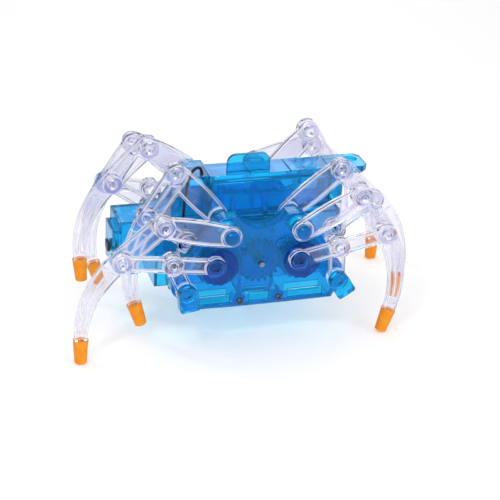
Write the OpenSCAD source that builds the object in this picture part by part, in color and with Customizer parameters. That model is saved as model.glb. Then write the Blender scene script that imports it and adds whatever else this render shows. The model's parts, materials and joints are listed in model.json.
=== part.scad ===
// Eight-legged walking spider robot: four leg corners driven by two gear cases and one centre axle.
// +X is to the right as seen from the near side (-Y), and the floor under the feet is Z = 0.

/* [Linkage] */
// Middle of the body to each crank axle
crank_x = 20; // [19:0.25:22]
// Radius of the circle that a crank pin runs on
crank_r = 5.5; // [4.5:0.25:6]
// Middle of the body to each upper frame pin
upper_pin_x = 17; // [15.5:0.25:18.5]
// Upper frame pin, height over the crank axle
upper_pin_rise = 18.3; // [17:0.1:20]
// Middle of the body to each lower frame pin
lower_pin_x = 36.5; // [35:0.25:38]
// Lower frame pin, drop below the crank axle
lower_pin_drop = 9.3; // [8:0.1:11]
// Upper rocker, pin to pin
upper_rocker_l = 31.8; // [30:0.1:34]
// Lower rocker, pin to pin
lower_rocker_l = 17.4; // [16.5:0.1:19]
// Coupler, crank pin to lower rocker
coupler_in = 20; // [19:0.1:21]
// Coupler, lower rocker to knee
coupler_out = 23.3; // [21:0.1:25]
// Leg, knee to its top pin
leg_up = 24.6; // [23:0.1:27]
// Leg, knee to the centre of the foot's dome
leg_down = 48.3; // [42:0.1:56]
// Turn of the near side's outer crank pins, counted from the right
near_phase = 135; // [125:1:145]
// Lag of the far side's crank pins behind the near side's
far_lag = 90; // [80:1:100]

/* [Links] */
// Thickness of every link
link_t = 3; // [2.4:0.1:3.2]
// Thickness of the web between a link's rims
web_t = 1.4; // [1:0.1:2]
// Width of a link's raised rim
rim_w = 1.1; // [0.8:0.1:1.4]
// Radius of the rocker ends
rocker_r = 4.8; // [4.4:0.1:5.2]
// Bow of the upper rocker's long sides
rocker_bow = 1; // [0.4:0.1:1.2]
// Width of the coupler's arms
coupler_w = 7; // [6:0.1:8]
// Width of the lower rocker's arm
lower_rocker_w = 7.6; // [6.5:0.1:8.5]
// Half width of the leg at its joints
leg_r = 5.2; // [4.8:0.1:5.6]
// Half width of the leg where it enters the foot tip
ankle_r = 2.9; // [2.4:0.1:3.2]
// Radius of the snap pins
snap_r = 1.9; // [1.5:0.1:2.1]
// Radius of the snap pins' heads
head_r = 4.6; // [4:0.1:5]
// Thickness of the snap pins' heads
head_t = 1.6; // [1.4:0.1:1.8]
// Rise of the heads' domed faces
head_dome = 0.8; // [0.4:0.1:1]
// Radius of the dimple in each head
dimple_r = 0.9; // [0.5:0.1:1.2]
// Depth of that dimple
dimple_h = 0.9; // [0.5:0.1:1]

/* [Feet] */
// Length of a rubber tip
tip_l = 12; // [10:0.5:14]
// Radius of a tip at its mouth
tip_mouth_r = 3.6; // [3.4:0.1:4]
// Radius of a tip above its dome
tip_end_r = 2.8; // [2.5:0.1:3.2]
// Radius of the dome that stands on the floor
dome_r = 6; // [5.5:0.1:7]
// Radius of the peg that holds a tip
peg_r = 1.4; // [1:0.1:1.4]
// Depth of the peg in its tip
peg_l = 7; // [5:0.5:8]

/* [Cranks and gears] */
// Radius of a crank disc
disc_r = 8.7; // [8:0.1:9]
// Thickness of a crank disc
disc_t = 1.5; // [1.2:0.1:2]
// Radius of a crank's hub in the case walls
hub_r = 3; // [2.6:0.1:3.4]
// Radius of a crank pin
crank_pin_r = 1.8; // [1.5:0.1:2]
// Half width of the caps over crank pins and lower frame pins
cap_r = 4.7; // [4.4:0.1:5]
// Length of a cap past its pin
cap_l = 7.5; // [6:0.5:9]
// Radius of a cap's far corners
cap_corner = 1.5; // [0.5:0.1:2.5]
// Thickness of a crank cap
cap_t = 2; // [1.5:0.1:2.2]
// Teeth of the crank gears and of the gears between them
crank_teeth = 20; // [16:4:24]
// Face width of those gears
gear_t = 4; // [3:0.25:5]
// Teeth of the motor pinion
pinion_teeth = 9; // [8:1:10]
// Teeth of the reduction gear's large wheel
wheel_teeth = 28; // [24:2:28]
// Teeth of the reduction gear's small pinion
step_teeth = 10; // [10:2:12]
// Teeth of the axle's drive gear
drive_teeth = 30; // [28:2:30]
// Module of the motor's gears
drive_module = 0.8; // [0.7:0.05:0.8]
// Middle of the body to the drive gear's near face
drive_y = 2.5; // [2:0.25:3]
// Radius of the reduction gear's own axle stubs
stub_r = 1.5; // [1:0.1:1.8]
// Radius of the steel axle
axle_r = 1.25; // [1:0.05:1.5]
// Radius of the sleeve that carries the axle's gears
sleeve_r = 2.4; // [2:0.1:3]
// Length of bare axle past each cover plate
axle_end = 2; // [1:0.25:3]

/* [Gear cases] */
// Middle of the body to the inner face of each gear case
case_in = 26; // [25.5:0.25:30]
// Thickness of the case floor and of its cover plate
case_floor = 1.5; // [1.2:0.1:2]
// Thickness of the case's rim wall
case_wall = 1.5; // [1.2:0.1:2]
// Radius of the case round its frame pins
case_lobe_r = 5.8; // [5.2:0.1:6.5]
// Crank axle to the case's bottom edge
case_drop = 21.5; // [20:0.25:23]
// Half width of the case at its bottom edge
case_foot_x = 36; // [34:0.25:37]
// Depth of the hollow between the two top lobes
case_dip = 6.2; // [4:0.1:7.5]
// Radius of an upper frame pin
upper_frame_r = 3.5; // [3:0.1:3.6]
// Length of an upper frame pin past its rocker
pin_end = 0.6; // [0.3:0.1:0.7]
// Rise of the domed end of an upper frame pin
pin_dome = 1.2; // [0.6:0.1:1.2]
// Width of the step that a link runs against, round every pin
pin_step = 1.2; // [0.8:0.1:1.5]
// Radius of a lower frame pin
lower_frame_r = 2.5; // [2:0.1:3]
// Turn of the left lower caps to the right, from straight down
left_cap_turn = 7; // [-20:1:45]
// Turn of the right lower caps to the right, from straight down
right_cap_turn = 32; // [-20:1:45]
// Height of the windows over the bottom edge
window_h = 4.5; // [3:0.25:5.5]
// Rail under the windows
window_rail = 1.8; // [1.4:0.1:2.5]
// Middle of the body to each screw boss
screw_x = 9.5; // [8:0.25:11]
// Radius of a screw boss
screw_boss_r = 3; // [2.6:0.1:3.4]
// Height of the bosses over the cover plate
boss_h = 0.7; // [0.4:0.1:1]
// Radius of a screw hole
screw_hole_r = 1.2; // [0.8:0.1:1.4]

/* [Chassis] */
// Left end of the chassis, from the middle
chassis_left = 45.5; // [45.5:0.5:50]
// Right end of the chassis, from the middle
chassis_right = 45; // [42:0.5:48]
// Half depth of the chassis
chassis_half = 13.5; // [13:0.1:13.7]
// Top of the chassis over the crank axle
chassis_top = 14.6; // [14.6:0.1:15]
// Bottom edge of the chassis below the crank axle
chassis_drop = 18.5; // [17:0.25:20]
// Wall of the chassis
chassis_wall = 1.6; // [1.2:0.1:1.7]
// Middle of the body to each web that carries a case
web_x = 7.8; // [7:0.1:8]
// Thickness of those webs
web_w = 2; // [1.5:0.1:2.2]
// Rise of the webs' fins beside the battery box
fin_rise = 9.5; // [4:0.25:11]

/* [Battery box] */
// Length of the cell that the box holds
cell_l = 50.5; // [44.5:0.5:50.5]
// Diameter of that cell
cell_d = 14.5; // [10.5:0.5:14.5]
// Room for both contacts along the cell
contact_room = 6.5; // [5:0.5:8]
// Width of a contact plate
contact_w = 10; // [8:0.5:10]
// Thickness of a contact plate
contact_t = 0.5; // [0.3:0.1:0.8]
// Radius of the contact spring's foot
spring_r = 4; // [3:0.25:4.5]
// Wall of the battery box
box_wall = 1.5; // [1.2:0.1:1.8]
// Left end of the battery box, from the middle
box_left = -19; // [-20:0.5:-17]
// Depth of the box's bay under its rim
bay_h = 14.5; // [13:0.25:16]
// Gap round the cell in its bay
cell_gap = 0.7; // [0.4:0.1:1]
// Step back of the end blocks from the box's face
block_inset = 2.5; // [1.5:0.25:3]
// Length of the block under the left ear
left_block = 14; // [12:0.5:16]
// Length of the block under the right ear
right_block = 7; // [5:0.5:9]
// Reach of the left ear past its block
left_ear = 3.5; // [2:0.5:5]
// Reach of the right ear past its block
right_ear = 12; // [9:0.5:14]
// Cut corners of both ears
ear_corner = 2.5; // [1:0.25:4]
// Reach of the left ear's horn behind its block
ear_horn = 4.4; // [2:0.2:5]
// Radius of the round recess in the right ear
recess_r = 3.2; // [2.5:0.1:4]
// Depth of that recess
recess_h = 1.4; // [1:0.1:1.8]
// Thickness of the ears and of the cover
cover_t = 2.9; // [2.4:0.1:3.4]
// Chamfer along the cover's long edges
cover_chamfer = 2; // [1:0.1:2.2]
// Depth of the cover's lip in the bay
lip_h = 1.5; // [1:0.1:2]
// Wall of the cover's lip
lip_t = 1.2; // [1:0.1:1.5]
// Width and depth of the cover's cross grooves
groove_w = 0.5; // [0.3:0.05:0.8]
// Middle of the cover to the finger tab's face
tab_y = 3; // [2:0.25:4]
// Width of the finger tab
tab_w = 21; // [16:0.5:24]
// Height of the finger tab
tab_h = 9; // [6:0.25:11]
// Thickness of the finger tab
tab_t = 1.8; // [1.4:0.1:2.4]
// Radius of the finger tab's top corners
tab_corner = 4.5; // [2:0.25:5]

/* [Switch and motor] */
// Length of the switch housing
switch_l = 16.5; // [14:0.5:24]
// Height of the switch housing
switch_h = 27; // [24:0.5:28]
// Half depth of the switch housing
switch_half = 10; // [9:0.25:11]
// Length of the stepped end
step_l = 2.5; // [2:0.25:5]
// Height of the stepped end
step_h = 19; // [16:0.5:21]
// Step back of that end from the housing's sides
step_inset = 2; // [1:0.25:3]
// Travel of the switch slider
slider_travel = 4; // [3:0.25:5]
// Length of the slider's finger pad
slider_l = 6; // [5:0.25:7]
// Height of the slider's finger pad
slider_h = 4; // [3:0.25:5]
// Thickness of that pad and of the pad behind the wall
slider_t = 1.4; // [1:0.1:1.8]
// Overlap of the pads past the slider's stem
slider_rim = 1; // [0.7:0.1:1.2]
// Radius of the motor can
can_r = 10; // [9:0.25:10]
// Height of the can over its flats
can_flat = 15.4; // [14:0.2:16]
// Length of the can
can_l = 16; // [14:0.5:16]
// Radius of the motor shaft
shaft_r = 1; // [0.75:0.05:1.1]
// Height of the round nose on the can's front
nose_h = 1.2; // [0.8:0.1:1.5]
// Length of the shaft inside the can
shaft_in = 5.5; // [4:0.5:8]
// Middle of the can to each of its terminals
terminal_x = 4; // [3:0.25:5]
// Width of a terminal
terminal_w = 1.6; // [1.2:0.1:2]
// Height of a terminal
terminal_h = 4; // [3:0.25:5]
// Reach of a terminal behind the can
terminal_t = 0.9; // [0.7:0.1:1]
// Drop of the motor's saddles below the axle's height
saddle_drop = 3; // [0:0.5:5]
// Width of a saddle beside the can
saddle_side = 1.4; // [1:0.1:1.8]
// Radius of the black lead
lead_r = 0.7; // [0.6:0.05:0.9]
// Depth of the lead's seat in the left ear
lead_seat = 2; // [1.5:0.1:2.2]

/* [Clearances] */
// Radial clearance of a running pin
run_fit = 0.05; // [0.02:0.01:0.1]
// Gap between faces that pass each other
face_gap = 0.3; // [0.3:0.05:0.5]
// Radial clearance of the coupler's ring on its crank pin
ring_play = 1.5; // [1.3:0.05:1.6]
// Radial clearance of the upper rocker on the leg's top pin
hip_play = 0.75; // [0.6:0.05:0.9]
// Backlash of the gears
backlash = 0.35; // [0.25:0.01:0.45]

/* [Hidden] */
$fn = 64;
corners = [
    ["near_left", -1, -1],
    ["near_right", 1, -1],
    ["far_left", -1, 1],
    ["far_right", 1, 1],
];
rows = ["outer", "inner"];
leg_pieces = ["leg", "foot_tip", "coupler", "upper_rocker", "lower_rocker"];

clear_blue = [0.12, 0.5, 0.85, 0.75];
deep_blue = [0.12, 0.35, 0.75, 0.85];
clear_plastic = [0.92, 0.93, 0.97, 0.5];
orange = [0.95, 0.55, 0.1];
steel = [0.75, 0.75, 0.77];

// Plane geometry of one leg, in the near left corner's frame: [across, up] from the middle of the axles
function unit(v) = v / norm(v);
function left_of(v) = [-v.y, v.x];
function along(a) = [cos(a), sin(a)];
function meet(p, r, q, s, side) =
    let (d = q - p, l = norm(d), a = (r * r - s * s + l * l) / (2 * l))
    p + a * d / l + side * sqrt(max(r * r - a * a, 0)) * left_of(d / l);

crank_axle = [-crank_x, 0];
upper_pin = [-upper_pin_x, upper_pin_rise];
lower_pin = [-lower_pin_x, -lower_pin_drop];
function crank_pin(turn) = crank_axle + crank_r * along(turn);
function elbow(turn) = meet(lower_pin, lower_rocker_l, crank_pin(turn), coupler_in, 1);
function knee(turn) = elbow(turn) + coupler_out * unit(elbow(turn) - crank_pin(turn));
function hip(turn) = meet(upper_pin, upper_rocker_l, knee(turn), leg_up, -1);
function thigh_angle(turn) = atan2(hip(turn).y - knee(turn).y, hip(turn).x - knee(turn).x);

// The bend at the knee puts the inward and the outward standing foot at one height
stance_out = near_phase;
stance_in = 180 - near_phase;
thigh_mean = (thigh_angle(stance_in) + thigh_angle(stance_out)) / 2;
thigh_swing = (thigh_angle(stance_in) - thigh_angle(stance_out)) / 2;
knee_drop = knee(stance_out).y - knee(stance_in).y;
knee_bend = 180 - acos(knee_drop / (2 * leg_down * sin(thigh_swing))) - thigh_mean;
function foot(turn) = knee(turn) + leg_down * along(thigh_angle(turn) + 180 + knee_bend);
axle_h = dome_r - foot(stance_out).y;

// The shank is an arc that leaves the knee in line with the thigh and runs straight on into its tip
tip_up = tip_l - dome_r;
shank_reach = leg_down * cos(knee_bend);
shank_lead = (leg_down * leg_down - tip_up * tip_up) / (2 * (shank_reach + tip_up));
shank_end = atan2(leg_down * sin(knee_bend), shank_reach - shank_lead);
shank_r = shank_lead / tan(shank_end / 2);
function shank_dir(turn) = -along(thigh_angle(turn));
function shank_out(turn, t) = sin(t) * shank_dir(turn) - cos(t) * left_of(shank_dir(turn));
function shank_at(turn, t, side) =
    knee(turn) + shank_r * (left_of(shank_dir(turn)) + shank_out(turn, t)) + side * shank_out(turn, t);
function shank_run(turn, t) = cos(t) * shank_dir(turn) + sin(t) * left_of(shank_dir(turn));
shank_steps = 14;
function shank_half(t) = leg_r + (ankle_r - leg_r) * t / shank_end;

function turn_of(c, inner) =
    let (real = c[2] < 0 ? near_phase : near_phase - far_lag)
    (c[1] < 0 ? real : 180 - real) + (inner ? 180 : 0);

// Depths: a case, then on both its faces a disc, the back links, the front links and the heads
gear_gap = 0.5;
embed = 0.2;
gear_in = case_in + case_floor + gear_gap;
gear_out = gear_in + gear_t;
plate_in = gear_out + gear_gap;
case_out = plate_in + case_floor;
disc_0 = face_gap;
disc_1 = disc_0 + disc_t;
back_0 = disc_1 + face_gap;
back_1 = back_0 + link_t;
front_0 = back_1 + face_gap;
front_1 = front_0 + link_t;
head_0 = front_1 + face_gap;
head_1 = head_0 + head_t;
function depth_at(inner, d) = inner ? case_in - d : case_out + d;

// Gears
crank_module = crank_x / crank_teeth;
wheel_x = -drive_module * (drive_teeth + step_teeth) / 2;
motor_x = wheel_x - drive_module * (wheel_teeth + pinion_teeth) / 2;
wheel_y = drive_y + gear_t + 2 * gear_gap;
motor_front = wheel_y - nose_h - face_gap;
pressure = 20;
function involute(a) = tan(a) * 180 / PI - a;
function tooth_half(teeth, module_, r) =
    let (pitch = module_ * teeth / 2, base = pitch * cos(pressure), slack = backlash / 4 / pitch * 180 / PI)
    90 / teeth - slack + involute(pressure) - involute(acos(min(base / r, 1)));
function gear_outline(teeth, module_) =
    let (
        pitch = module_ * teeth / 2,
        base = pitch * cos(pressure),
        tip = pitch + 0.8 * module_,
        root = pitch - 1.1 * module_,
        low = max(base, root),
        radii = [root, low, (low + tip) / 2, tip],
        halves = [
            0.8 * tooth_half(teeth, module_, low),
            tooth_half(teeth, module_, low),
            tooth_half(teeth, module_, (low + tip) / 2),
            tooth_half(teeth, module_, tip),
        ]
    )
    [
        for (i = [0 : teeth - 1])
            for (k = [0 : 7])
                let (
                    j = k < 4 ? k : 7 - k,
                    a = i * 360 / teeth + (k < 4 ? -1 : 1) * halves[j]
                )
                radii[j] * along(a),
    ];

// Battery box, from the axle's height
box_l = cell_l + contact_room + 2 * box_wall;
box_right = box_left + box_l;
box_half = cell_d / 2 + cell_gap + box_wall;
box_bottom = chassis_top;
box_top = box_bottom + box_wall + bay_h;
ear_top = box_top + cover_t;
block_half = box_half - block_inset;
tab_x = box_left + box_l / 3;
saddle_y = [can_l - motor_front - 4, gear_gap + 1.5 - drive_y];

// The black lead: from the left ear over its edge, down the left block and through the chassis to the motor
lead_y = -(block_half + lead_r + 2.2);
terminal_y = motor_front - can_l - terminal_t / 2;
lead_end_y = motor_front - can_l - lead_r - run_fit;
lead_route = [
    [box_left - 2.5, -3.5, ear_top - lead_seat - embed],
    [box_left - 2.5, -3.5, ear_top + 0.5],
    [box_left - 3.4, -4.2, ear_top + 2.9],
    [box_left - 5.6, lead_y + 3.95, ear_top + 4.1],
    [box_left - 8.2, lead_y + 1.95, ear_top + 3.3],
    [box_left - 10.2, lead_y + 0.55, ear_top + 0.7],
    [box_left - 11.2, lead_y, ear_top - 3],
    [box_left - 11.9, lead_y, box_bottom + 10.4],
    [box_left - 12.2, lead_y, box_bottom + 4.4],
    [box_left - 12.2, lead_y, box_bottom - 1.6],
    [box_left - 11.2, lead_end_y, box_bottom - 5.2],
    [box_left - 9.2, lead_end_y, box_bottom - 8],
    [motor_x + terminal_x - 0.2, lead_end_y, terminal_h / 2 + 2.4],
    [motor_x + terminal_x, lead_end_y, terminal_h / 2 - embed],
];
lead_hole = lead_route[9];
lead_sides = 8;
lead_sub = 3;
function spline(p, i, u) =
    let (
        n = len(p) - 1,
        a = p[max(i - 1, 0)],
        b = p[i],
        c = p[min(i + 1, n)],
        d = p[min(i + 2, n)]
    )
    0.5 * (2 * b + (c - a) * u + (2 * a - 5 * b + 4 * c - d) * u * u + (3 * b - a - 3 * c + d) * u * u * u);
function smooth(p) = concat(
    [for (i = [0 : len(p) - 2]) for (k = [0 : lead_sub - 1]) spline(p, i, k / lead_sub)],
    [p[len(p) - 1]]
);

module slab(inner, d0, d1) {
    y0 = depth_at(inner, d0);
    y1 = depth_at(inner, d1);
    translate([0, -min(y0, y1), 0])
        rotate([90, 0, 0])
            linear_extrude(abs(y1 - y0))
                children();
}

module layer(y0, y1) {
    translate([0, -y0, 0])
        rotate([90, 0, 0])
            linear_extrude(y1 - y0)
                children();
}

module dot(p, r) {
    translate(p)
        circle(r);
}

module bar(p, q, half) {
    n = half * left_of(unit(q - p));
    polygon([p + n, p - n, q - n, q + n]);
}

module stadium(p, q, r) {
    dot(p, r);
    dot(q, r);
    bar(p, q, r);
}

// A stadium whose long sides bow out, as arcs that run into its round ends
module bowed(p, q, r, bow) {
    half = norm(q - p) / 2;
    drop = (half * half - bow * bow) / (2 * bow);
    big = drop + r + bow;
    e = unit(q - p);
    over = r * half / (big - r) * e;
    dot(p, r);
    dot(q, r);
    intersection() {
        bar(p - over, q + over, r + bow);
        translate((p + q) / 2 + drop * left_of(e)) circle(big, $fn = 360);
        translate((p + q) / 2 - drop * left_of(e)) circle(big, $fn = 360);
    }
}

module both_sides() {
    for (m = [0, 1])
        mirror([m, 0, 0])
            children();
}

module at_corner(c) {
    translate([0, 0, axle_h])
        mirror([c[1] > 0 ? 1 : 0, 0, 0])
            mirror([0, c[2] > 0 ? 1 : 0, 0])
                children();
}

module on_side(s) {
    translate([0, 0, axle_h])
        mirror([0, s > 0 ? 1 : 0, 0])
            children();
}

// A link: its outline with pockets sunk in both faces, so that a rim and a web are left
module pocketed(inner, d0, d1) {
    sink = (link_t - web_t) / 2;
    difference() {
        slab(inner, d0, d1) children(0);
        slab(inner, d0 - 1, d0 + sink) children(1);
        slab(inner, d1 - sink, d1 + 1) children(1);
    }
}

// A round pin or head from one depth to another, with a domed end past that
module domed_pin(inner, p, d0, d1, r, rise) {
    ball = (r * r + rise * rise) / (2 * rise);
    translate([p.x, -depth_at(inner, d0), p.y])
        rotate([inner ? -90 : 90, 0, 0])
            rotate_extrude() {
                square([r, d1 - d0]);
                intersection() {
                    translate([0, d1 - d0]) square([r, rise + 1]);
                    translate([0, d1 - d0 + rise - ball]) circle(ball);
                }
            }
}

module snap_pin(inner, p, from) {
    slab(inner, from, head_0 + embed) dot(p, snap_r);
    difference() {
        domed_pin(inner, p, head_0, head_1 - head_dome, head_r, head_dome);
        slab(inner, head_1 - dimple_h, head_1 + 1) dot(p, dimple_r);
    }
}

module upper_rocker(inner, turn) {
    top = hip(turn);
    color(clear_plastic)
        difference() {
            pocketed(inner, front_0, front_1) {
                bowed(upper_pin, top, rocker_r, rocker_bow);
                difference() {
                    bowed(upper_pin, top, rocker_r - rim_w, rocker_bow);
                    dot(upper_pin, rocker_r);
                    dot(top, rocker_r);
                }
            }
            slab(inner, front_0 - 1, front_1 + 1) {
                dot(upper_pin, upper_frame_r + run_fit);
                dot(top, snap_r + hip_play);
            }
        }
}

module coupler(inner, turn) {
    ring = crank_pin(turn);
    mid = elbow(turn);
    end = knee(turn);
    ring_r = crank_pin_r + ring_play + rim_w + 0.5;
    color(clear_plastic)
        difference() {
            pocketed(inner, front_0, front_1) {
                union() {
                    bar(ring, end, coupler_w / 2);
                    dot(ring, ring_r);
                    dot(mid, rocker_r);
                    dot(end, rocker_r);
                }
                difference() {
                    bar(ring, end, coupler_w / 2 - rim_w);
                    dot(ring, ring_r);
                    dot(mid, rocker_r);
                    dot(end, rocker_r);
                }
            }
            slab(inner, front_0 - 1, front_1 + 1) {
                dot(ring, crank_pin_r + ring_play);
                dot(mid, snap_r + run_fit);
                dot(end, snap_r + run_fit);
            }
        }
}

module lower_rocker(inner, turn) {
    top = elbow(turn);
    color(clear_plastic) {
        difference() {
            pocketed(inner, back_0, back_1) {
                union() {
                    bar(lower_pin, top, lower_rocker_w / 2);
                    dot(lower_pin, rocker_r);
                    dot(top, rocker_r);
                }
                difference() {
                    bar(lower_pin, top, lower_rocker_w / 2 - rim_w);
                    dot(lower_pin, rocker_r);
                    dot(top, rocker_r);
                }
            }
            slab(inner, back_0 - 1, back_1 + 1) dot(lower_pin, lower_frame_r + run_fit);
        }
        snap_pin(inner, top, back_1 - embed);
    }
}

// A band of the shank, from one offset of its middle line to another, as shares of its half width
module shank_band(turn, t0, t1, low, high, low_in, high_in) {
    outer = [
        for (i = [0 : shank_steps])
            let (t = t0 + (t1 - t0) * i / shank_steps)
            shank_at(turn, t, high * shank_half(t) + high_in)
    ];
    inner = [
        for (i = [shank_steps : -1 : 0])
            let (t = t0 + (t1 - t0) * i / shank_steps)
            shank_at(turn, t, low * shank_half(t) + low_in)
    ];
    polygon(concat(outer, inner));
}

module leg(inner, turn) {
    top = hip(turn);
    bend = knee(turn);
    ball = foot(turn);
    aim = -shank_run(turn, shank_end);
    pocket_0 = 8;
    pocket_1 = shank_end - 4;
    rib = 0.45;
    y_mid = (depth_at(inner, back_0) + depth_at(inner, back_1)) / 2;
    color(clear_plastic) {
        pocketed(inner, back_0, back_1) {
            union() {
                stadium(top, bend, leg_r);
                shank_band(turn, 0, shank_end, -1, 1, 0, 0);
            }
            union() {
                difference() {
                    bar(top, bend, leg_r - rim_w);
                    dot(top, leg_r);
                    dot(bend, leg_r);
                    bar(top, bend, rib);
                }
                shank_band(turn, pocket_0, pocket_1, 0, 1, rib, -rim_w);
                shank_band(turn, pocket_0, pocket_1, -1, 0, rim_w, -rib);
            }
        }
        translate([ball.x, -y_mid, ball.y])
            rotate([0, atan2(aim.x, aim.y), 0])
                translate([0, 0, tip_up - peg_l])
                    cylinder(r = peg_r, h = peg_l + 2);
        snap_pin(inner, top, back_1 - embed);
        snap_pin(inner, bend, back_1 - embed);
    }
}

module foot_tip(inner, turn) {
    ball = foot(turn);
    aim = -shank_run(turn, shank_end);
    y_mid = (depth_at(inner, back_0) + depth_at(inner, back_1)) / 2;
    mid_r = tip_end_r + (tip_mouth_r - tip_end_r) * dome_r / tip_l;
    color(orange)
        translate([ball.x, -y_mid, ball.y])
            rotate([0, atan2(aim.x, aim.y), 0])
                difference() {
                    union() {
                        cylinder(r1 = mid_r, r2 = tip_mouth_r, h = tip_up);
                        intersection() {
                            translate([0, 0, -dome_r]) cylinder(r1 = tip_end_r, r2 = mid_r, h = dome_r);
                            sphere(dome_r);
                        }
                    }
                    translate([0, 0, tip_up - peg_l]) cylinder(r = peg_r, h = peg_l + 1);
                }
}

// A cap that stands over a pin and runs on past it
module cap_outline(p, aim) {
    e = unit(aim);
    dot(p, cap_r);
    bar(p, p + (cap_l - cap_corner) * e, cap_r);
    bar(p, p + cap_l * e, cap_r - cap_corner);
    for (side = [-1, 1])
        dot(p + (cap_l - cap_corner) * e + side * (cap_r - cap_corner) * left_of(e), cap_corner);
}

module crank_end(inner, turn) {
    pin = crank_pin(turn);
    spare = crank_axle - crank_r * along(turn);
    difference() {
        slab(inner, disc_0, disc_1) dot(crank_axle, disc_r);
        slab(inner, disc_0 - 1, disc_1 + 1) dot(spare, dimple_r);
    }
    slab(inner, disc_1 - embed, front_0 - face_gap) dot(pin, crank_pin_r + pin_step);
    slab(inner, disc_1 - embed, head_0 + embed) dot(pin, crank_pin_r);
    difference() {
        slab(inner, head_0, head_0 + cap_t) cap_outline(pin, crank_axle - pin);
        slab(inner, head_0 + cap_t - dimple_h, head_0 + cap_t + 1) dot(pin, dimple_r);
    }
}

module crank(turn) {
    color(deep_blue) {
        layer(depth_at(true, disc_1), depth_at(false, disc_1)) dot(crank_axle, hub_r);
        layer(gear_in, gear_out)
            translate(crank_axle)
                rotate(180 / crank_teeth)
                    polygon(gear_outline(crank_teeth, crank_module));
        crank_end(false, turn);
        crank_end(true, turn + 180);
    }
}

// Outline of the gear case, drawn in by a wall's thickness where its inside is wanted
module case_outline(inset) {
    r = case_lobe_r - inset;
    floor_z = -case_drop + inset;
    foot_x = case_foot_x - inset;
    side = r * left_of(unit(upper_pin - lower_pin));
    valley_half = upper_pin_x - case_lobe_r * 0.9;
    valley_r = (valley_half * valley_half + case_dip * case_dip) / (2 * case_dip);
    valley_z = upper_pin_rise + case_lobe_r - case_dip + valley_r;
    difference() {
        union() {
            polygon([
                [-foot_x, floor_z], [foot_x, floor_z], [lower_pin_x, -lower_pin_drop],
                [upper_pin_x, upper_pin_rise + r], [-upper_pin_x, upper_pin_rise + r], lower_pin,
            ]);
            both_sides() {
                polygon([upper_pin, upper_pin + side, lower_pin + side, lower_pin]);
                polygon([lower_pin, lower_pin - [r, 0], [-foot_x, floor_z]]);
                dot(upper_pin, r);
                dot(lower_pin, r);
            }
        }
        dot([0, valley_z], valley_r + inset);
    }
}

module case_windows() {
    z0 = -case_drop + window_rail;
    gap = screw_boss_r + 1.5;
    far_x = case_foot_x - case_wall - 3;
    translate([-screw_x + gap, z0]) square([2 * (screw_x - gap), window_h]);
    both_sides() translate([screw_x + gap, z0]) square([far_x - screw_x - gap, window_h]);
}

module case_bores(axle_hole) {
    dot([0, 0], axle_hole);
    both_sides() dot(crank_axle, hub_r + run_fit);
}

// The pins that one face of a case carries: plain ones above, capped ones below
module frame_pins(inner) {
    for (side = [-1, 1]) {
        up = [side * upper_pin_x, upper_pin_rise];
        low = [side * lower_pin_x, -lower_pin_drop];
        aim = along((side < 0 ? left_cap_turn : right_cap_turn) - 90);
        slab(inner, -embed, front_0 - face_gap) dot(up, upper_frame_r + pin_step);
        domed_pin(inner, up, -embed, head_0 + pin_end, upper_frame_r, pin_dome);
        slab(inner, -embed, back_0 - face_gap) dot(low, lower_frame_r + pin_step);
        slab(inner, -embed, front_0 + embed) dot(low, lower_frame_r);
        difference() {
            slab(inner, front_0, head_1) cap_outline(low, aim);
            slab(inner, head_1 - dimple_h, head_1 + 1) dot(low, dimple_r);
        }
    }
}

module gear_case(s) {
    color(clear_blue)
        on_side(s) {
            difference() {
                union() {
                    layer(case_in, case_in + case_floor) case_outline(0);
                    layer(case_in + case_floor - embed, plate_in)
                        difference() {
                            case_outline(0);
                            case_outline(case_wall);
                        }
                    layer(case_in + case_floor - embed, plate_in)
                        both_sides() dot([screw_x, screw_boss_r - case_drop], screw_boss_r);
                }
                layer(case_in - 1, plate_in + 1) case_windows();
                layer(case_in - 1, plate_in + 1) case_bores(sleeve_r + run_fit);
                layer(case_in - 1, plate_in + 1)
                    both_sides() dot([screw_x, screw_boss_r - case_drop], screw_hole_r);
            }
            frame_pins(true);
        }
}

module cover_plate(s) {
    boss_z = upper_pin_rise / 2;
    color(clear_blue)
        on_side(s) {
            difference() {
                union() {
                    layer(plate_in, case_out) case_outline(0);
                    layer(case_out - embed, case_out + boss_h) dot([0, 0], sleeve_r + 1);
                    layer(case_out - embed, case_out + boss_h)
                        both_sides() dot([screw_x, boss_z], screw_boss_r);
                    layer(case_out - embed, case_out + boss_h)
                        both_sides() dot([screw_x, screw_boss_r - case_drop], screw_boss_r);
                }
                layer(plate_in - 1, case_out + 2) case_windows();
                layer(plate_in - 1, case_out + 2) case_bores(axle_r + run_fit);
                layer(plate_in - 1, case_out + 2)
                    both_sides() dot([screw_x, screw_boss_r - case_drop], screw_hole_r);
            }
            frame_pins(false);
        }
}

module axle_gears() {
    color(deep_blue)
        translate([0, 0, axle_h])
            difference() {
                union() {
                    layer(-gear_out, gear_out) dot([0, 0], sleeve_r);
                    layer(gear_in, gear_out) polygon(gear_outline(crank_teeth, crank_module));
                    layer(-gear_out, -gear_in) polygon(gear_outline(crank_teeth, crank_module));
                    layer(-drive_y - gear_t, -drive_y) polygon(gear_outline(drive_teeth, drive_module));
                }
                layer(-gear_out - 1, gear_out + 1) dot([0, 0], axle_r);
            }
}

module centre_axle() {
    end = case_out + axle_end;
    color(steel)
        translate([0, 0, axle_h])
            layer(-end, end) dot([0, 0], axle_r);
}

module reduction_gear() {
    end = chassis_half - face_gap;
    color(deep_blue)
        translate([wheel_x, 0, axle_h]) {
            layer(-end, end) dot([0, 0], stub_r);
            layer(-wheel_y, -drive_y + gear_gap)
                rotate(180 / step_teeth) polygon(gear_outline(step_teeth, drive_module));
            layer(-wheel_y - gear_t, -wheel_y) polygon(gear_outline(wheel_teeth, drive_module));
        }
}

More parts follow.
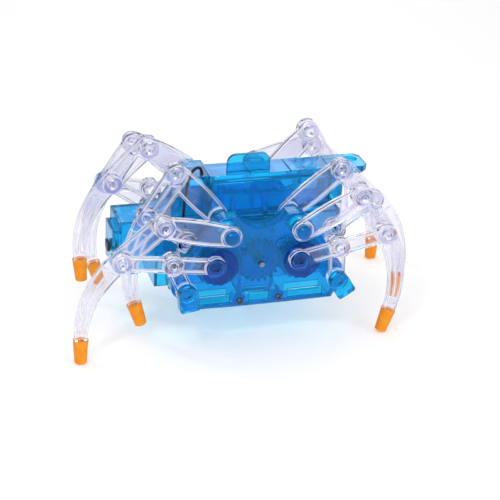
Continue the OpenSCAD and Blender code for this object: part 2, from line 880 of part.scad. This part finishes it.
module can_outline() {
    intersection() {
        circle(can_r);
        square([3 * can_r, can_flat], center = true);
    }
}

module motor() {
    front = -motor_front;
    color(steel)
        translate([motor_x, 0, axle_h])
            difference() {
                union() {
                    layer(front, front + can_l) can_outline();
                    layer(front - nose_h, front + embed) circle(3 * shaft_r);
                    for (x = [-terminal_x, terminal_x])
                        translate([x, terminal_y + embed / 2, 0])
                            cube([terminal_w, terminal_t + embed, terminal_h], center = true);
                }
                layer(front - nose_h - 1, front + shaft_in + face_gap) circle(shaft_r + run_fit);
            }
}

module motor_pinion() {
    color("white")
        translate([motor_x, 0, axle_h]) {
            layer(-wheel_y - gear_t, shaft_in - motor_front) circle(shaft_r);
            layer(-wheel_y - gear_t, -wheel_y)
                rotate(180 / pinion_teeth) polygon(gear_outline(pinion_teeth, drive_module));
        }
}

module chassis() {
    l = chassis_left + chassis_right;
    h = chassis_top + chassis_drop;
    color(clear_blue)
        translate([0, 0, axle_h])
            difference() {
                union() {
                    difference() {
                        translate([-chassis_left, -chassis_half, -chassis_drop])
                            cube([l, 2 * chassis_half, h]);
                        translate([
                            chassis_wall - chassis_left, chassis_wall - chassis_half, -chassis_drop - 1
                        ])
                            cube([
                                l - 2 * chassis_wall, 2 * (chassis_half - chassis_wall),
                                h - chassis_wall + 1
                            ]);
                    }
                    // Webs that reach out to both cases, with a fin beside the battery box
                    for (x = [-web_x, web_x])
                        translate([x - web_w / 2, 0, 0])
                            rotate([90, 0, 90])
                                linear_extrude(web_w)
                                    both_sides()
                                        polygon([
                                            [chassis_half - chassis_wall, -chassis_drop],
                                            [case_in, -chassis_drop],
                                            [case_in, chassis_top - 3],
                                            [chassis_half, chassis_top - 1],
                                            [box_half + 1, chassis_top + fin_rise],
                                            [box_half, chassis_top + fin_rise],
                                            [box_half, chassis_top - chassis_wall / 2],
                                            [chassis_half - chassis_wall, chassis_top - chassis_wall / 2],
                                        ]);
                    // Saddles that hold the motor under the roof
                    for (y = saddle_y)
                        layer(y, y + chassis_wall)
                            difference() {
                                translate([motor_x - can_r - saddle_side, -saddle_drop])
                                    square([2 * (can_r + saddle_side), saddle_drop + chassis_top - embed]);
                                translate([motor_x, 0]) can_outline();
                            }
                    for (s = [-1, 1])
                        translate([-web_x, s > 0 ? chassis_half - embed : -case_in, -chassis_drop])
                            cube([2 * web_x, case_in - chassis_half + embed, chassis_wall]);
                }
                layer(-case_in, case_in) dot([0, 0], sleeve_r + run_fit);
                layer(-case_in, case_in) dot([wheel_x, 0], stub_r + run_fit);
                translate([lead_hole.x, lead_hole.y, chassis_top - chassis_wall - 1])
                    cylinder(r = lead_r + face_gap, h = chassis_wall + 2);
            }
}

module ear_outline_left() {
    x0 = box_left - left_block - left_ear;
    polygon([
        [box_left, -block_half], [x0 + ear_corner, -block_half], [x0, ear_corner - block_half],
        [x0, block_half - ear_horn], [x0 + 1.6 * ear_horn, block_half + ear_horn],
        [box_left - ear_corner, block_half], [box_left, block_half],
    ]);
}

module ear_outline_right() {
    x1 = box_right + right_block + right_ear;
    half = block_half + 1;
    polygon([
        [box_right, -half], [x1 - ear_corner, -half], [x1, ear_corner - half],
        [x1, half - ear_corner], [x1 - ear_corner, half], [box_right, half],
    ]);
}

module block(x0, x1) {
    difference() {
        translate([x0, -block_half, box_bottom])
            cube([x1 - x0, 2 * block_half, box_top - box_bottom]);
        translate([x0 + box_wall, box_wall - block_half, box_bottom - 1])
            cube([x1 - x0 - 2 * box_wall, 2 * (block_half - box_wall), box_top - box_bottom + 1 - box_wall]);
    }
}

module battery_box() {
    recess_x = box_right + right_block + right_ear / 2;
    color(clear_blue)
        translate([0, 0, axle_h])
            difference() {
                union() {
                    translate([box_left, -box_half, box_bottom])
                        cube([box_l, 2 * box_half, box_top - box_bottom]);
                    block(box_left - left_block, box_left + embed);
                    block(box_right - embed, box_right + right_block);
                    translate([0, 0, box_top - embed]) linear_extrude(cover_t + embed) ear_outline_left();
                    translate([0, 0, box_top - embed]) linear_extrude(cover_t + embed) ear_outline_right();
                }
                translate([box_left + box_wall, box_wall - box_half, box_bottom + box_wall])
                    cube([box_l - 2 * box_wall, 2 * (box_half - box_wall), bay_h + 1]);
                translate([recess_x, 1.5, ear_top - recess_h]) cylinder(r = recess_r, h = recess_h + 1);
                translate([lead_route[0].x, lead_route[0].y, ear_top - lead_seat])
                    cylinder(r = lead_r + face_gap, h = lead_seat + 1);
            }
}

module battery_cover() {
    lip_half = box_half - box_wall - face_gap;
    lip_x0 = box_left + box_wall + face_gap;
    lip_l = box_l - 2 * (box_wall + face_gap);
    seat = box_top + face_gap;
    color(clear_blue)
        translate([0, 0, axle_h]) {
            difference() {
                translate([box_left + face_gap, 0, 0])
                    rotate([90, 0, 90])
                        linear_extrude(box_l - 2 * face_gap)
                            polygon([
                                [-box_half, seat], [box_half, seat], [box_half - cover_chamfer, ear_top],
                                [cover_chamfer - box_half, ear_top],
                            ]);
                for (k = [1, 2])
                    translate([box_left + k * box_l / 3 - groove_w / 2, -box_half, ear_top - groove_w])
                        cube([groove_w, 2 * box_half, 1]);
            }
            difference() {
                translate([lip_x0, -lip_half, seat - lip_h]) cube([lip_l, 2 * lip_half, lip_h + embed]);
                translate([lip_x0 + lip_t, lip_t - lip_half, seat - lip_h - 1])
                    cube([lip_l - 2 * lip_t, 2 * (lip_half - lip_t), lip_h + 1]);
            }
            translate([tab_x, -tab_y, ear_top - groove_w - embed])
                rotate([90, 0, 0])
                    linear_extrude(tab_t)
                        translate([0, groove_w + embed]) {
                            foot = groove_w + embed;
                            translate([-tab_w / 2, -foot]) square([tab_w, tab_h - tab_corner + foot]);
                            translate([tab_corner - tab_w / 2, 0]) square([tab_w - 2 * tab_corner, tab_h]);
                            both_sides() dot([tab_w / 2 - tab_corner, tab_h - tab_corner], tab_corner);
                        }
        }
}

module battery_contacts() {
    h = bay_h - lip_h - 1;
    z = box_bottom + box_wall;
    color(steel)
        translate([0, 0, axle_h]) {
            translate([box_left + box_wall, -contact_w / 2, z]) cube([contact_t, contact_w, h]);
            translate([box_right - box_wall - contact_t, -contact_w / 2, z]) cube([contact_t, contact_w, h]);
            translate([box_left + box_wall, 0, z + cell_d / 2])
                rotate([0, 90, 0])
                    cylinder(r1 = spring_r, r2 = spring_r / 2, h = contact_room / 2 - contact_t);
        }
}

module switch_housing() {
    x1 = -chassis_left;
    x0 = x1 - switch_l;
    wall = chassis_wall;
    z0 = chassis_top - switch_h;
    step_z = z0 + (switch_h - step_h) / 3;
    slot_l = slider_l - 2 * slider_rim + slider_travel + 2 * face_gap;
    slot_h = slider_h - 2 * slider_rim + 2 * face_gap;
    color(clear_blue)
        translate([0, 0, axle_h])
            difference() {
                union() {
                    translate([x0, -switch_half, z0]) cube([switch_l, 2 * switch_half, switch_h]);
                    translate([x0 - step_l, step_inset - switch_half, step_z])
                        cube([step_l + embed, 2 * (switch_half - step_inset), step_h]);
                }
                translate([x0 + wall, wall - switch_half, z0 - 1])
                    cube([switch_l - wall + 1, 2 * (switch_half - wall), switch_h - wall + 1]);
                translate([x0 + wall - step_l, step_inset + wall - switch_half, step_z - 1])
                    cube([step_l + embed, 2 * (switch_half - step_inset - wall), step_h - wall + 1]);
                translate([x0 - step_l - 1, -slot_l / 2, step_z + step_h / 2 - slot_h / 2])
                    cube([wall + 2, slot_l, slot_h]);
            }
}

module switch_slider() {
    x0 = -chassis_left - switch_l - step_l;
    z0 = chassis_top - switch_h + (switch_h - step_h) / 3 + step_h / 2;
    stem_l = slider_l - 2 * slider_rim;
    stem_h = slider_h - 2 * slider_rim;
    color("black")
        translate([x0, -slider_travel / 2, axle_h + z0]) {
            for (x = [-face_gap - slider_t, chassis_wall + face_gap])
                translate([x, -slider_l / 2, -slider_h / 2]) cube([slider_t, slider_l, slider_h]);
            translate([-face_gap - embed, -stem_l / 2, -stem_h / 2])
                cube([chassis_wall + 2 * (face_gap + embed), stem_l, stem_h]);
        }
}

module black_lead() {
    path = smooth(lead_route);
    n = len(path);
    ref = unit([0.3, 0.85, 0.3]);
    rings = [
        for (i = [0 : n - 1])
            let (
                run = unit(path[min(i + 1, n - 1)] - path[max(i - 1, 0)]),
                u = unit(cross(run, ref)),
                v = cross(run, u)
            )
            for (k = [0 : lead_sides - 1])
                path[i] + lead_r * (cos(k * 360 / lead_sides) * u + sin(k * 360 / lead_sides) * v)
    ];
    walls = [
        for (i = [0 : n - 2])
            for (k = [0 : lead_sides - 1])
                let (
                    a = i * lead_sides + k,
                    b = i * lead_sides + (k + 1) % lead_sides
                )
                for (face = [[a, b + lead_sides, b], [a, a + lead_sides, b + lead_sides]]) face
    ];
    start = [for (k = [1 : lead_sides - 2]) [0, k, k + 1]];
    last = (n - 1) * lead_sides;
    end = [for (k = [1 : lead_sides - 2]) [last, last + k + 1, last + k]];
    color("black")
        translate([0, 0, axle_h])
            polyhedron(points = rings, faces = concat(walls, start, end));
}

chassis();
battery_box();
battery_cover();
battery_contacts();
switch_housing();
switch_slider();
motor();
motor_pinion();
reduction_gear();
axle_gears();
centre_axle();
black_lead();
gear_case(-1);  // near_case
gear_case(1);  // far_case
cover_plate(-1);  // near_cover_plate
cover_plate(1);  // far_cover_plate
for (c = corners) {
    at_corner(c) crank(turn_of(c, false));
    for (inner = [false, true]) {
        name = str(c[0], "_", rows[inner ? 1 : 0], "_");
        turn = turn_of(c, inner);
        at_corner(c) leg(inner, turn);
        at_corner(c) foot_tip(inner, turn);
        at_corner(c) coupler(inner, turn);
        at_corner(c) upper_rocker(inner, turn);
        at_corner(c) lower_rocker(inner, turn);
    }
}
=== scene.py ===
"""Looks of an eight-legged walking spider robot, in metres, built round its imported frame."""

import json
import math

import bmesh
import bpy
from mathutils import Matrix, Vector


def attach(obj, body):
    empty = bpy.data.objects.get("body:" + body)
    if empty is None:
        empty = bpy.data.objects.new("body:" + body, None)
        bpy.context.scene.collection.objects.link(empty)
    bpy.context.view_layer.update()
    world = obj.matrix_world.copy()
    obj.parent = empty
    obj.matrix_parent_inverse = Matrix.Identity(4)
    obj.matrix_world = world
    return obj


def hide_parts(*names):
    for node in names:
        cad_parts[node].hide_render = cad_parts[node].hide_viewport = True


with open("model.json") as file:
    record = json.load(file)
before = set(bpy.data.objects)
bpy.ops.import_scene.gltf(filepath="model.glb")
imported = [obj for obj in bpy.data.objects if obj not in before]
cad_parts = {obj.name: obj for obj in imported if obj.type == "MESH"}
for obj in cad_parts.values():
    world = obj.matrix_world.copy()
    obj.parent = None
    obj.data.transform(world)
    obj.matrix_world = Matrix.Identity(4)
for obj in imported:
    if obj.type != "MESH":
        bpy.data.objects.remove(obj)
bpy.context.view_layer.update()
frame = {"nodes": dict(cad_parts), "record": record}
scene = bpy.context.scene

MM = 0.001
IMAGE_PX = 500

# Camera at the photograph's angle, with its turns in degrees
VIEW_AZIMUTH = -18
VIEW_ELEVATION = 26.5
VIEW_ROLL = 3.2
VIEW_DISTANCE = 700 * MM
VIEW_TARGET = Vector((5.4, 0, 30.5)) * MM
FOCAL_PX = 1437
SENSOR_MM = 36
NEAR_CLIP = 10 * MM

# Places that follow the frame
AXLE_H = next(j for j in frame["record"]["behaviour"]["joints"] if j["name"] == "drive")["pos_m"][2]
SCREW_X = 9.5 * MM
SCREW_DROP = 18.5 * MM
BOSS_FACE_Y = 34.7 * MM

# A screw's pan head: rings of radius and height, then the cross recess that is sunk in it
SCREW_RINGS_MM = [(1.7, 0.02), (1.7, 0.5), (1.5, 0.85), (1.15, 1.0)]
CROSS_REACH = 0.85 * MM
CROSS_STEP = 15
CROSS_FLOOR = 0.3 * MM
QUARTER_TURN = 90

# Eased edges, which the clear links and the shells have. Slim links and free shells take the full width, and
# the others are clamped to the room between their edges. Gears, tips and metal pieces stay as they are.
LINK_EASE = 0.32 * MM
SLIM_EASE = 0.2 * MM
SHELL_EASE = 0.22 * MM
SLIM_LINKS = ("_leg", "_lower_rocker")
FREE_SHELLS = (
    "battery_box", "battery_cover", "near_cover_plate", "far_cover_plate", "near_case", "far_case",
)
CLAMPED_SHELLS = ("chassis", "switch_housing", "switch_slider")
EASE_STEPS = 3
EASE_ANGLE = 40
SMOOTH_ANGLE = 38
WELD_GAP = 0.002 * MM

# The black lead's route, from the left ear down to the motor, over the axle's height
LEAD_R = 0.7 * MM
LEAD_ROUTE_MM = [
    (-21.5, -3.5, 31.3), (-21.5, -3.5, 34.0), (-22.4, -4.2, 36.4), (-24.6, -5.9, 37.6),
    (-27.2, -7.9, 36.8), (-29.2, -9.3, 34.2), (-30.2, -9.85, 30.5), (-30.9, -9.85, 25.0),
    (-31.2, -9.85, 19.0), (-31.2, -9.85, 13.0), (-30.2, -10.75, 9.4), (-28.2, -10.75, 6.6),
    (-27.0, -10.75, 4.4), (-26.8, -10.75, 1.8),
]
LEAD_STEPS = 6
LEAD_ROUNDNESS = 4

# Where noise starts and ends its drift from the first value to the second
COLOUR_DRIFT = (0.35, 0.65)
ROUGHNESS_DRIFT = (0.3, 0.7)
PLASTIC_IOR = 1.47

# Studio, in metres and watts. The sky's colours go by the height looked at, from level to overhead.
FLOOR_SIZE = 6
SKY_STOPS = [(0.0, (88, 92, 112)), (0.22, (170, 175, 192)), (1.0, (255, 255, 255))]
SKY_STRENGTH = 0.98
LIGHT_AIM = Vector((0, 0, 0.03))
LIGHTS = [
    {"name": "key", "place": (-0.5, -0.55, 0.85), "size": 0.12, "power": 1.2, "shadow": True},
    {"name": "top", "place": (0.2, -0.3, 0.95), "size": 0.12, "power": 1.5, "shadow": False},
    {"name": "front", "place": (-0.15, -1.05, 0.45), "size": 0.5, "power": 4.2, "shadow": False},
    {"name": "fill", "place": (0.8, -0.6, 0.5), "size": 0.3, "power": 1.2, "shadow": True},
    {"name": "rim", "place": (-0.75, 0.55, 0.75), "size": 0.12, "power": 1, "shadow": True},
    {"name": "back", "place": (0.27, 0.9, 0.5), "size": 0.5, "power": 1.2, "shadow": False},
]
LIGHT_BOUNCES = 32


def srgb(red, green, blue):
    """A linear colour from 8-bit screen values."""
    def linear(v):
        v /= 255
        return v / 12.92 if v <= 0.04045 else ((v + 0.055) / 1.055) ** 2.4
    return (linear(red), linear(green), linear(blue), 1)


def new_material(name, slot_values):
    """A material with one Principled shader, whose even values are set on its own sockets."""
    material = bpy.data.materials.new(name)
    material.use_nodes = True
    shader = material.node_tree.nodes["Principled BSDF"]
    for socket, value in slot_values.items():
        shader.inputs[socket].default_value = value
    return material, shader


def add_noise(material, scale, detail=4):
    """Noise in the frame's own coordinates, with scale in features per metre."""
    nodes, links = material.node_tree.nodes, material.node_tree.links
    where = nodes.new("ShaderNodeTexCoord")
    noise = nodes.new("ShaderNodeTexNoise")
    noise.inputs["Scale"].default_value = scale
    noise.inputs["Detail"].default_value = detail
    links.new(where.outputs["Object"], noise.inputs["Vector"])
    return noise.outputs["Fac"]


def vary_colour(material, shader, factor, colours):
    """Base colour that drifts between two colours."""
    nodes, links = material.node_tree.nodes, material.node_tree.links
    ramp = nodes.new("ShaderNodeValToRGB")
    for element, position, colour in zip(ramp.color_ramp.elements, COLOUR_DRIFT, colours):
        element.position = position
        element.color = colour
    links.new(factor, ramp.inputs["Fac"])
    links.new(ramp.outputs["Color"], shader.inputs["Base Color"])


def vary_roughness(material, shader, factor, roughness):
    """Roughness that drifts between two values."""
    nodes, links = material.node_tree.nodes, material.node_tree.links
    span = nodes.new("ShaderNodeMapRange")
    for end, position, value in zip(("Min", "Max"), ROUGHNESS_DRIFT, roughness):
        span.inputs["From " + end].default_value = position
        span.inputs["To " + end].default_value = value
    links.new(factor, span.inputs["Value"])
    links.new(span.outputs["Result"], shader.inputs["Roughness"])


def add_bump(material, shader, factor, strength, height):
    """Fine relief, height in metres."""
    nodes, links = material.node_tree.nodes, material.node_tree.links
    bump = nodes.new("ShaderNodeBump")
    bump.inputs["Strength"].default_value = strength
    bump.inputs["Distance"].default_value = height
    links.new(factor, bump.inputs["Height"])
    links.new(bump.outputs["Normal"], shader.inputs["Normal"])


def moulded_plastic(name, colours, transmission, roughness, gloss, shine=(1, 1, 1, 1)):
    """Plastic with flow marks and a faint ripple, gloss and shine being its specular level and tint."""
    material, shader = new_material(name, {
        "Transmission Weight": transmission, "IOR": PLASTIC_IOR,
        "Specular IOR Level": gloss, "Specular Tint": shine,
    })
    vary_colour(material, shader, add_noise(material, scale=90, detail=3), colours)
    vary_roughness(material, shader, add_noise(material, scale=700), roughness)
    add_bump(material, shader, add_noise(material, scale=260, detail=2), strength=0.03, height=0.2 * MM)
    return material


def add_depth(material, colour, density):
    """Colour that deepens with the thickness that light passes through."""
    nodes, links = material.node_tree.nodes, material.node_tree.links
    depth = nodes.new("ShaderNodeVolumeAbsorption")
    depth.inputs["Color"].default_value = colour
    depth.inputs["Density"].default_value = density
    links.new(depth.outputs["Volume"], nodes["Material Output"].inputs["Volume"])


def rubber(name, colours, grain):
    """Soft matt rubber, grain being the fine relief's features per metre."""
    material, shader = new_material(name, {"Specular IOR Level": 0.2, "Sheen Weight": 0.05})
    vary_colour(material, shader, add_noise(material, scale=350, detail=3), colours)
    vary_roughness(material, shader, add_noise(material, scale=900), (0.45, 0.7))
    add_bump(material, shader, add_noise(material, scale=grain, detail=5), strength=0.3, height=0.12 * MM)
    return material


def metal(name, colours, roughness, grain):
    """Bright metal, grain being its stains' features per metre."""
    material, shader = new_material(name, {"Metallic": 1.0})
    vary_colour(material, shader, add_noise(material, scale=grain, detail=5), colours)
    vary_roughness(material, shader, add_noise(material, scale=4 * grain), roughness)
    add_bump(
        material, shader, add_noise(material, scale=6 * grain, detail=2), strength=0.08, height=0.05 * MM,
    )
    return material


blue_shine = srgb(130, 196, 255)
blue = moulded_plastic(
    "clear_blue_plastic", (srgb(70, 206, 246), srgb(84, 211, 250)),
    transmission=0.92, roughness=(0.02, 0.06), gloss=0.3, shine=blue_shine,
)
deep_blue = moulded_plastic(
    "deep_blue_plastic", (srgb(92, 142, 210), srgb(102, 152, 218)),
    transmission=0.94, roughness=(0.03, 0.08), gloss=0.3, shine=blue_shine,
)
add_depth(blue, colour=(0.0, 0.91, 0.95, 1), density=520)
add_depth(deep_blue, colour=(0.0, 0.7, 0.85, 1), density=340)
clear = moulded_plastic(
    "clear_plastic", (srgb(234, 233, 246), srgb(242, 241, 250)),
    transmission=0.99, roughness=(0.005, 0.03), gloss=0.3,
)
# Whiter, half-clear plastic for the clear links' eased edges: a painted highlight along each edge
painted_edge_highlight = moulded_plastic(
    "clear_edge_painted_highlight", (srgb(244, 244, 249), srgb(250, 250, 253)),
    transmission=0.5, roughness=(0.1, 0.25), gloss=0.5,
)
white = moulded_plastic(
    "white_plastic", (srgb(228, 228, 222), srgb(240, 240, 236)),
    transmission=0.05, roughness=(0.25, 0.4), gloss=0.5,
)
black = moulded_plastic(
    "black_plastic", (srgb(18, 18, 20), srgb(28, 28, 31)),
    transmission=0.0, roughness=(0.3, 0.5), gloss=0.5,
)
orange = rubber("orange_rubber", (srgb(228, 134, 18), srgb(238, 148, 30)), grain=1500)
wire_black = rubber("black_rubber", (srgb(16, 17, 22), srgb(30, 31, 38)), grain=1200)
steel = metal("bright_steel", (srgb(186, 186, 190), srgb(224, 224, 228)), (0.16, 0.34), grain=600)
screw_steel = metal("screw_steel", (srgb(62, 66, 84), srgb(104, 108, 126)), (0.2, 0.4), grain=900)
axle_steel = metal("axle_steel", (srgb(120, 122, 132), srgb(156, 158, 168)), (0.12, 0.25), grain=600)

SLOT_MATERIALS = {
    "clear_blue_plastic": blue, "deep_blue_plastic": deep_blue, "clear_plastic": clear,
    "white_plastic": white, "black_plastic": black, "orange_rubber": orange,
    "black_rubber": wire_black, "bright_steel": steel,
}


def smooth_by_angle(degrees):
    """A node group that shades faces smooth, apart from edges steeper than that angle."""
    group = bpy.data.node_groups.new("smooth_by_angle", "GeometryNodeTree")
    for way in ("INPUT", "OUTPUT"):
        group.interface.new_socket("Geometry", in_out=way, socket_type="NodeSocketGeometry")
    nodes, links = group.nodes, group.links
    start, end = nodes.new("NodeGroupInput"), nodes.new("NodeGroupOutput")
    angle = nodes.new("GeometryNodeInputMeshEdgeAngle")
    steep = nodes.new("FunctionNodeCompare")
    steep.data_type = "FLOAT"
    steep.operation = "GREATER_THAN"
    steep.inputs[1].default_value = math.radians(degrees)
    plain = nodes.new("GeometryNodeRemoveAttribute")
    plain.inputs["Name"].default_value = "custom_normal"
    faces, edges = (nodes.new("GeometryNodeSetShadeSmooth") for _ in range(2))
    edges.domain = "EDGE"
    edges.inputs["Shade Smooth"].default_value = False
    links.new(start.outputs[0], plain.inputs["Geometry"])
    links.new(plain.outputs[0], faces.inputs["Geometry"])
    links.new(faces.outputs[0], edges.inputs["Geometry"])
    links.new(angle.outputs["Unsigned Angle"], steep.inputs[0])
    links.new(steep.outputs[0], edges.inputs["Selection"])
    links.new(edges.outputs[0], end.inputs[0])
    return group


smooth_faces = smooth_by_angle(SMOOTH_ANGLE)


def dress_node(node, material):
    """A CAD piece in its own material, with its round faces shaded smooth."""
    piece = frame["nodes"][node]
    piece.data.materials.clear()
    piece.data.materials.append(material)
    piece.modifiers.new("weld", "WELD").merge_threshold = WELD_GAP
    piece.modifiers.new("smooth faces", "NODES").node_group = smooth_faces
    return piece


def ease_edges(piece, width, clamp):
    """Edges eased by that width, or by less where clamp finds no room."""
    edge = piece.modifiers.new("eased edges", "BEVEL")
    edge.width = width
    edge.segments = EASE_STEPS
    edge.limit_method = "ANGLE"
    edge.angle_limit = math.radians(EASE_ANGLE)
    edge.use_clamp_overlap = clamp
    return edge


def dress_link(node):
    """A clear link, whose eased edges catch the light and also take a whiter, half-clear material as a
    painted highlight.
    """
    piece = dress_node(node, clear)
    slim = node.endswith(SLIM_LINKS)
    edge = ease_edges(piece, SLIM_EASE if slim else LINK_EASE, clamp=not slim)
    edge.harden_normals = True
    # The eased edges take the whiter material, which paints a highlight line along them
    piece.data.materials.append(painted_edge_highlight)
    edge.material = 1


def dress_other(node, material):
    """Any other CAD piece, with eased edges if it is a shell."""
    piece = dress_node(node, material)
    if node in FREE_SHELLS + CLAMPED_SHELLS:
        ease_edges(piece, SHELL_EASE, clamp=node in CLAMPED_SHELLS)
    piece.modifiers.new("normals", "WEIGHTED_NORMAL").keep_sharp = True


def new_piece(name, mesh_maker, material, body):
    """A piece from a function that fills a bmesh, riding on a body."""
    mesh = bpy.data.meshes.new(name)
    shape = bmesh.new()
    mesh_maker(shape)
    bmesh.ops.recalc_face_normals(shape, faces=shape.faces)
    shape.to_mesh(mesh)
    shape.free()
    piece = bpy.data.objects.new(name, mesh)
    scene.collection.objects.link(piece)
    mesh.materials.append(material)
    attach(piece, body)


def cross_radius(angle):
    """Distance from the middle of a cross recess to its outline."""
    folded = abs((angle + QUARTER_TURN / 2) % QUARTER_TURN - QUARTER_TURN / 2)
    if folded <= CROSS_STEP:
        return CROSS_REACH / math.cos(math.radians(folded))
    return CROSS_REACH * math.tan(math.radians(CROSS_STEP)) / math.sin(math.radians(folded))


def screw(name, x, side):
    """A small pan-head screw on a cover plate, facing out along Y."""
    angles = range(0, 4 * QUARTER_TURN, CROSS_STEP)
    rings = [([r * MM] * len(angles), h * MM) for r, h in SCREW_RINGS_MM]
    top = rings[-1][1]
    cross = [cross_radius(a) for a in angles]
    rings += [(cross, top), (cross, CROSS_FLOOR)]

    def fill(shape):
        loops = [
            [
                shape.verts.new((
                    x + r * math.cos(math.radians(a)), side * (BOSS_FACE_Y + height),
                    AXLE_H - SCREW_DROP + r * math.sin(math.radians(a)),
                ))
                for a, r in zip(angles, radii)
            ]
            for radii, height in rings
        ]
        for low, high in zip(loops, loops[1:]):
            for i in range(len(low)):
                shape.faces.new((low[i - 1], low[i], high[i], high[i - 1]))
        shape.faces.new(loops[0])
        shape.faces.new(loops[-1])

    new_piece(name, fill, screw_steel, "frame")


def smooth_route(points, steps):
    """A Catmull-Rom curve through all the points, sampled between each two."""
    last = len(points) - 1
    route = []
    for i in range(last):
        a, b, c, d = points[max(i - 1, 0)], points[i], points[i + 1], points[min(i + 2, last)]
        for k in range(steps):
            u = k / steps
            route.append(0.5 * (2 * b + (c - a) * u + (2 * a - 5 * b + 4 * c - d) * u ** 2
                                + (3 * b - a - 3 * c + d) * u ** 3))
    route.append(points[last])
    return route


def black_lead():
    """The insulated wire between the battery box and the motor."""
    places = [Vector(p) * MM + Vector((0, 0, AXLE_H)) for p in LEAD_ROUTE_MM]
    route = smooth_route(places, LEAD_STEPS)
    curve = bpy.data.curves.new("lead_wire", "CURVE")
    curve.dimensions = "3D"
    curve.bevel_depth = LEAD_R
    curve.bevel_resolution = LEAD_ROUNDNESS
    curve.use_fill_caps = True
    spline = curve.splines.new("POLY")
    spline.points.add(len(route) - 1)
    for point, place in zip(spline.points, route):
        point.co = (*place, 1)
    spline.use_smooth = True
    curve.materials.append(wire_black)
    lead = bpy.data.objects.new("lead_wire", curve)
    scene.collection.objects.link(lead)
    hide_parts("black_lead")
    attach(lead, "frame")


def floor():
    """A plain pale floor."""
    bpy.ops.mesh.primitive_plane_add(size=FLOOR_SIZE)
    plane = bpy.context.object
    plane.name = "floor"
    material, shader = new_material("pale_floor", {"Roughness": 0.6})
    colours = (srgb(248, 245, 241), srgb(250, 247, 244))
    vary_colour(material, shader, add_noise(material, scale=3), colours)
    plane.data.materials.append(material)


def sky():
    """A world that is bright overhead and dimmer towards the horizon."""
    world = bpy.data.worlds.new("studio")
    world.use_nodes = True
    nodes, links = world.node_tree.nodes, world.node_tree.links
    way = nodes.new("ShaderNodeTexCoord")
    axes = nodes.new("ShaderNodeSeparateXYZ")
    ramp = nodes.new("ShaderNodeValToRGB")
    links.new(way.outputs["Generated"], axes.inputs["Vector"])
    links.new(axes.outputs["Z"], ramp.inputs["Fac"])
    links.new(ramp.outputs["Color"], nodes["Background"].inputs["Color"])
    elements = ramp.color_ramp.elements
    elements.new(SKY_STOPS[1][0])
    for element, (height, colour) in zip(elements, SKY_STOPS):
        element.position = height
        element.color = srgb(*colour)
    nodes["Background"].inputs["Strength"].default_value = SKY_STRENGTH
    scene.world = world


def lights():
    """Soft studio lamps, all turned to the robot."""
    for lamp in LIGHTS:
        data = bpy.data.lights.new(lamp["name"], "AREA")
        data.size = lamp["size"]
        data.energy = lamp["power"]
        data.use_shadow = lamp["shadow"]
        light = bpy.data.objects.new(lamp["name"], data)
        light.location = lamp["place"]
        light.rotation_euler = (LIGHT_AIM - light.location).to_track_quat("-Z", "Y").to_euler()
        scene.collection.objects.link(light)


def camera():
    """A camera at the photograph's viewing angle."""
    azimuth, elevation, roll = (math.radians(a) for a in (VIEW_AZIMUTH, VIEW_ELEVATION, VIEW_ROLL))
    back = Vector((
        math.sin(azimuth) * math.cos(elevation), -math.cos(azimuth) * math.cos(elevation),
        math.sin(elevation),
    ))
    level = Vector((math.cos(azimuth), math.sin(azimuth), 0))
    upright = back.cross(level)
    right = level * math.cos(roll) + upright * math.sin(roll)
    up = upright * math.cos(roll) - level * math.sin(roll)
    data = bpy.data.cameras.new("view")
    data.sensor_width = SENSOR_MM
    data.lens = FOCAL_PX / IMAGE_PX * SENSOR_MM
    data.clip_start = NEAR_CLIP
    eye = bpy.data.objects.new("view", data)
    eye.matrix_world = Matrix.Translation(VIEW_TARGET + back * VIEW_DISTANCE) @ Matrix(
        (right, up, back)).transposed().to_4x4()
    scene.collection.objects.link(eye)
    scene.camera = eye


camera()
black_lead()
for part in frame["record"]["subparts"]:
    part_slot = part["material_slot"]
    if part_slot == "clear_plastic":
        dress_link(part["node"])
    else:
        dress_other(part["node"], SLOT_MATERIALS[part_slot])
frame["nodes"]["centre_axle"].data.materials[0] = axle_steel
for side_name, side in (("near", -1), ("far", 1)):
    screw(side_name + "_left_screw", -SCREW_X, side)
    screw(side_name + "_right_screw", SCREW_X, side)
floor()
sky()
lights()

scene.view_settings.view_transform = "Standard"
scene.cycles.max_bounces = LIGHT_BOUNCES
scene.cycles.transmission_bounces = LIGHT_BOUNCES
scene.cycles.transparent_max_bounces = LIGHT_BOUNCES
